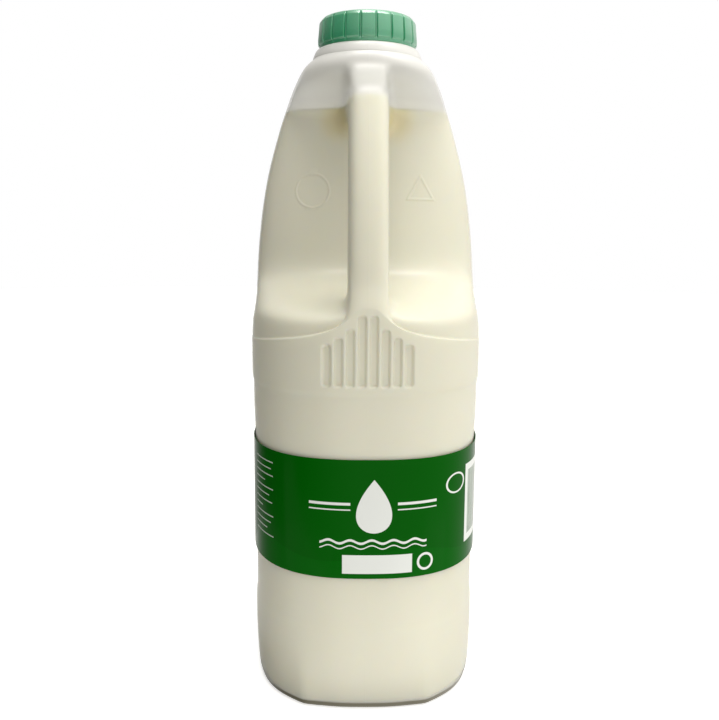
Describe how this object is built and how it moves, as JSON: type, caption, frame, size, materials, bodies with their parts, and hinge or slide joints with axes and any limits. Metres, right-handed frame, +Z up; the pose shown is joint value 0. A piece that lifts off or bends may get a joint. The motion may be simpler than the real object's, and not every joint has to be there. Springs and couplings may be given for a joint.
{
  "type": "plastic milk jug",
  "caption": "Tall plastic milk bottle with a moulded handle in a hand recess, fluted grip, wrap-round label and green screw cap, full of milk to just under the neck.",
  "frame": {"origin": "middle of the standing face, on the bottle's axis", "axes": "+Z up along the bottle's axis, -Y towards the handle, +X to the right seen from the handle side"},
  "size_m": [0.102, 0.1244, 0.2864],
  "materials": {
    "bottle_plastic": "natural polyethylene, milky and see-through, with a soft satin gloss",
    "milk": "opaque cream-white liquid",
    "label_film": "glossy printed film, dark green with a plain white print",
    "cap_plastic": "moulded green polyethylene, satin gloss"
  },
  "bodies": {
    "root": {"jug": "bottle_plastic", "milk": "milk", "label": "label_film", "cap": "cap_plastic"}
  },
  "joints": []
}
